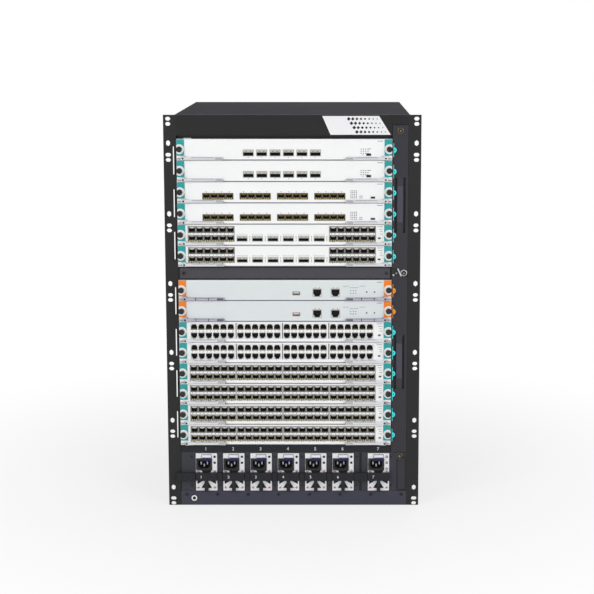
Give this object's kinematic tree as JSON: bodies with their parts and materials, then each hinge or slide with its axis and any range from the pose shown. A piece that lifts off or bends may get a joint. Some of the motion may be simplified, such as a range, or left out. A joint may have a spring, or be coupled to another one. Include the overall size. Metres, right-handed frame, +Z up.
{
  "type": "modular chassis switch",
  "caption": "Tall rack-mount network chassis with horizontal plug-in cards, upright fan trays, power modules and slotted rack ears.",
  "frame": {"origin": "middle of the base's underside: half the body's width and half its depth", "axes": "+Z up; +X to the right seen from the front; the front with the ports faces -Y"},
  "size_m": [0.4826, 0.472, 0.7548],
  "materials": {
    "white_face": "satin paint",
    "pale_grey_face": "satin paint",
    "lever_alloy": "satin",
    "module_metal": "satin",
    "black_plastic": "matte",
    "board_green": "solder mask",
    "shell_grey": "fine powder coat",
    "ear_black": "smooth paint",
    "screw_dark": "black zinc",
    "zinc_steel": "zinc",
    "panel_grey": "fine powder coat"
  },
  "bodies": {
    "chassis": {"base_plate": "shell_grey", "left_side_panel": "shell_grey", "right_side_panel": "shell_grey", "left_rack_ear": "ear_black", "right_rack_ear": "ear_black", "top_cover": "shell_grey", "rear_panel": "shell_grey", "top_fascia": "ear_black", "divider_panel": "panel_grey", "power_bay_frame": "panel_grey", "bottom_fascia": "panel_grey", "backplane": "board_green", "fan_bay_wall": "zinc_steel", "panel_screws": "screw_dark", "corner_cover": "panel_grey"},
    "card_01_uplink": {"card_01_uplink": "white_face"},
    "card_01_lever_left": {"card_01_lever_left": "lever_alloy"},
    "card_01_lever_right": {"card_01_lever_right": "lever_alloy"},
    "card_02_uplink": {"card_02_uplink": "white_face"},
    "card_02_lever_left": {"card_02_lever_left": "lever_alloy"},
    "card_02_lever_right": {"card_02_lever_right": "lever_alloy"},
    "card_03_fibre_row": {"card_03_fibre_row": "white_face"},
    "card_03_lever_left": {"card_03_lever_left": "lever_alloy"},
    "card_03_lever_right": {"card_03_lever_right": "lever_alloy"},
    "card_04_fibre_row": {"card_04_fibre_row": "white_face"},
    "card_04_lever_left": {"card_04_lever_left": "lever_alloy"},
    "card_04_lever_right": {"card_04_lever_right": "lever_alloy"},
    "card_05_mixed": {"card_05_mixed": "white_face"},
    "card_05_lever_left": {"card_05_lever_left": "lever_alloy"},
    "card_05_lever_right": {"card_05_lever_right": "lever_alloy"},
    "card_06_mixed": {"card_06_mixed": "white_face"},
    "card_06_lever_left": {"card_06_lever_left": "lever_alloy"},
    "card_06_lever_right": {"card_06_lever_right": "lever_alloy"},
    "card_07_supervisor": {"card_07_supervisor": "pale_grey_face"},
    "card_07_lever_left": {"card_07_lever_left": "lever_alloy"},
    "card_07_lever_right": {"card_07_lever_right": "lever_alloy"},
    "card_08_supervisor": {"card_08_supervisor": "pale_grey_face"},
    "card_08_lever_left": {"card_08_lever_left": "lever_alloy"},
    "card_08_lever_right": {"card_08_lever_right": "lever_alloy"},
    "card_09_copper": {"card_09_copper": "white_face"},
    "card_10_copper": {"card_10_copper": "white_face"},
    "card_11_fibre": {"card_11_fibre": "white_face"},
    "card_12_fibre": {"card_12_fibre": "white_face"},
    "card_13_fibre": {"card_13_fibre": "white_face"},
    "card_14_fibre": {"card_14_fibre": "white_face"},
    "power_module_1": {"power_module_1": "module_metal"},
    "power_module_2": {"power_module_2": "module_metal"},
    "power_module_3": {"power_module_3": "module_metal"},
    "power_module_4": {"power_module_4": "module_metal"},
    "power_module_5": {"power_module_5": "module_metal"},
    "power_module_6": {"power_module_6": "module_metal"},
    "power_module_7": {"power_module_7": "module_metal"},
    "fan_tray_lower": {"fan_tray_lower": "panel_grey"},
    "impeller_lower_1": {"impeller_lower_1": "black_plastic"},
    "impeller_lower_2": {"impeller_lower_2": "black_plastic"},
    "impeller_lower_3": {"impeller_lower_3": "black_plastic"},
    "fan_tray_upper": {"fan_tray_upper": "panel_grey"},
    "impeller_upper_1": {"impeller_upper_1": "black_plastic"},
    "impeller_upper_2": {"impeller_upper_2": "black_plastic"},
    "impeller_upper_3": {"impeller_upper_3": "black_plastic"}
  },
  "joints": [
    {"name": "card_01_uplink_slide", "type": "slide", "parent": "chassis", "child": "card_01_uplink", "axis": [0, -1, 0], "range_m": [0, 0.42]},
    {"name": "card_01_lever_left_hinge", "type": "hinge", "parent": "card_01_uplink", "child": "card_01_lever_left", "pos_m": [-0.2046, -0.2366, 0.6739], "axis": [0, 0, -1], "range_deg": [0, 75]},
    {"name": "card_01_lever_right_hinge", "type": "hinge", "parent": "card_01_uplink", "child": "card_01_lever_right", "pos_m": [0.1748, -0.2366, 0.6739], "axis": [0, 0, 1], "range_deg": [0, 75]},
    {"name": "card_02_uplink_slide", "type": "slide", "parent": "chassis", "child": "card_02_uplink", "axis": [0, -1, 0], "range_m": [0, 0.42]},
    {"name": "card_02_lever_left_hinge", "type": "hinge", "parent": "card_02_uplink", "child": "card_02_lever_left", "pos_m": [-0.2046, -0.2366, 0.6336], "axis": [0, 0, -1], "range_deg": [0, 75]},
    {"name": "card_02_lever_right_hinge", "type": "hinge", "parent": "card_02_uplink", "child": "card_02_lever_right", "pos_m": [0.1748, -0.2366, 0.6336], "axis": [0, 0, 1], "range_deg": [0, 75]},
    {"name": "card_03_fibre_row_slide", "type": "slide", "parent": "chassis", "child": "card_03_fibre_row", "axis": [0, -1, 0], "range_m": [0, 0.42]},
    {"name": "card_03_lever_left_hinge", "type": "hinge", "parent": "card_03_fibre_row", "child": "card_03_lever_left", "pos_m": [-0.2046, -0.2366, 0.5933], "axis": [0, 0, -1], "range_deg": [0, 75]},
    {"name": "card_03_lever_right_hinge", "type": "hinge", "parent": "card_03_fibre_row", "child": "card_03_lever_right", "pos_m": [0.1748, -0.2366, 0.5933], "axis": [0, 0, 1], "range_deg": [0, 75]},
    {"name": "card_04_fibre_row_slide", "type": "slide", "parent": "chassis", "child": "card_04_fibre_row", "axis": [0, -1, 0], "range_m": [0, 0.42]},
    {"name": "card_04_lever_left_hinge", "type": "hinge", "parent": "card_04_fibre_row", "child": "card_04_lever_left", "pos_m": [-0.2046, -0.2366, 0.553], "axis": [0, 0, -1], "range_deg": [0, 75]},
    {"name": "card_04_lever_right_hinge", "type": "hinge", "parent": "card_04_fibre_row", "child": "card_04_lever_right", "pos_m": [0.1748, -0.2366, 0.553], "axis": [0, 0, 1], "range_deg": [0, 75]},
    {"name": "card_05_mixed_slide", "type": "slide", "parent": "chassis", "child": "card_05_mixed", "axis": [0, -1, 0], "range_m": [0, 0.42]},
    {"name": "card_05_lever_left_hinge", "type": "hinge", "parent": "card_05_mixed", "child": "card_05_lever_left", "pos_m": [-0.2046, -0.2366, 0.5127], "axis": [0, 0, -1], "range_deg": [0, 75]},
    {"name": "card_05_lever_right_hinge", "type": "hinge", "parent": "card_05_mixed", "child": "card_05_lever_right", "pos_m": [0.1748, -0.2366, 0.5127], "axis": [0, 0, 1], "range_deg": [0, 75]},
    {"name": "card_06_mixed_slide", "type": "slide", "parent": "chassis", "child": "card_06_mixed", "axis": [0, -1, 0], "range_m": [0, 0.42]},
    {"name": "card_06_lever_left_hinge", "type": "hinge", "parent": "card_06_mixed", "child": "card_06_lever_left", "pos_m": [-0.2046, -0.2366, 0.4724], "axis": [0, 0, -1], "range_deg": [0, 75]},
    {"name": "card_06_lever_right_hinge", "type": "hinge", "parent": "card_06_mixed", "child": "card_06_lever_right", "pos_m": [0.1748, -0.2366, 0.4724], "axis": [0, 0, 1], "range_deg": [0, 75]},
    {"name": "card_07_supervisor_slide", "type": "slide", "parent": "chassis", "child": "card_07_supervisor", "axis": [0, -1, 0], "range_m": [0, 0.42]},
    {"name": "card_07_lever_left_hinge", "type": "hinge", "parent": "card_07_supervisor", "child": "card_07_lever_left", "pos_m": [-0.2046, -0.2366, 0.4067], "axis": [0, 0, -1], "range_deg": [0, 75]},
    {"name": "card_07_lever_right_hinge", "type": "hinge", "parent": "card_07_supervisor", "child": "card_07_lever_right", "pos_m": [0.1748, -0.2366, 0.4067], "axis": [0, 0, 1], "range_deg": [0, 75]},
    {"name": "card_08_supervisor_slide", "type": "slide", "parent": "chassis", "child": "card_08_supervisor", "axis": [0, -1, 0], "range_m": [0, 0.42]},
    {"name": "card_08_lever_left_hinge", "type": "hinge", "parent": "card_08_supervisor", "child": "card_08_lever_left", "pos_m": [-0.2046, -0.2366, 0.3664], "axis": [0, 0, -1], "range_deg": [0, 75]},
    {"name": "card_08_lever_right_hinge", "type": "hinge", "parent": "card_08_supervisor", "child": "card_08_lever_right", "pos_m": [0.1748, -0.2366, 0.3664], "axis": [0, 0, 1], "range_deg": [0, 75]},
    {"name": "card_09_copper_slide", "type": "slide", "parent": "chassis", "child": "card_09_copper", "axis": [0, -1, 0], "range_m": [0, 0.42]},
    {"name": "card_10_copper_slide", "type": "slide", "parent": "chassis", "child": "card_10_copper", "axis": [0, -1, 0], "range_m": [0, 0.42]},
    {"name": "card_11_fibre_slide", "type": "slide", "parent": "chassis", "child": "card_11_fibre", "axis": [0, -1, 0], "range_m": [0, 0.42]},
    {"name": "card_12_fibre_slide", "type": "slide", "parent": "chassis", "child": "card_12_fibre", "axis": [0, -1, 0], "range_m": [0, 0.42]},
    {"name": "card_13_fibre_slide", "type": "slide", "parent": "chassis", "child": "card_13_fibre", "axis": [0, -1, 0], "range_m": [0, 0.42]},
    {"name": "card_14_fibre_slide", "type": "slide", "parent": "chassis", "child": "card_14_fibre", "axis": [0, -1, 0], "range_m": [0, 0.42]},
    {"name": "power_module_1_slide", "type": "slide", "parent": "chassis", "child": "power_module_1", "axis": [0, -1, 0], "range_m": [0, 0.41]},
    {"name": "power_module_2_slide", "type": "slide", "parent": "chassis", "child": "power_module_2", "axis": [0, -1, 0], "range_m": [0, 0.41]},
    {"name": "power_module_3_slide", "type": "slide", "parent": "chassis", "child": "power_module_3", "axis": [0, -1, 0], "range_m": [0, 0.41]},
    {"name": "power_module_4_slide", "type": "slide", "parent": "chassis", "child": "power_module_4", "axis": [0, -1, 0], "range_m": [0, 0.41]},
    {"name": "power_module_5_slide", "type": "slide", "parent": "chassis", "child": "power_module_5", "axis": [0, -1, 0], "range_m": [0, 0.41]},
    {"name": "power_module_6_slide", "type": "slide", "parent": "chassis", "child": "power_module_6", "axis": [0, -1, 0], "range_m": [0, 0.41]},
    {"name": "power_module_7_slide", "type": "slide", "parent": "chassis", "child": "power_module_7", "axis": [0, -1, 0], "range_m": [0, 0.41]},
    {"name": "fan_tray_lower_slide", "type": "slide", "parent": "chassis", "child": "fan_tray_lower", "axis": [0, -1, 0], "range_m": [0, 0.43]},
    {"name": "impeller_lower_1_spin", "type": "hinge", "parent": "fan_tray_lower", "child": "impeller_lower_1", "pos_m": [0.1981, 0, 0.1647], "axis": [1, 0, 0], "continuous": true},
    {"name": "impeller_lower_2_spin", "type": "hinge", "parent": "fan_tray_lower", "child": "impeller_lower_2", "pos_m": [0.1981, 0, 0.2769], "axis": [1, 0, 0], "continuous": true},
    {"name": "impeller_lower_3_spin", "type": "hinge", "parent": "fan_tray_lower", "child": "impeller_lower_3", "pos_m": [0.1981, 0, 0.3891], "axis": [1, 0, 0], "continuous": true},
    {"name": "fan_tray_upper_slide", "type": "slide", "parent": "chassis", "child": "fan_tray_upper", "axis": [0, -1, 0], "range_m": [0, 0.43]},
    {"name": "impeller_upper_1_spin", "type": "hinge", "parent": "fan_tray_upper", "child": "impeller_upper_1", "pos_m": [0.1981, 0, 0.51102], "axis": [1, 0, 0], "continuous": true},
    {"name": "impeller_upper_2_spin", "type": "hinge", "parent": "fan_tray_upper", "child": "impeller_upper_2", "pos_m": [0.1981, 0, 0.59945], "axis": [1, 0, 0], "continuous": true},
    {"name": "impeller_upper_3_spin", "type": "hinge", "parent": "fan_tray_upper", "child": "impeller_upper_3", "pos_m": [0.1981, 0, 0.68788], "axis": [1, 0, 0], "continuous": true}
  ]
}
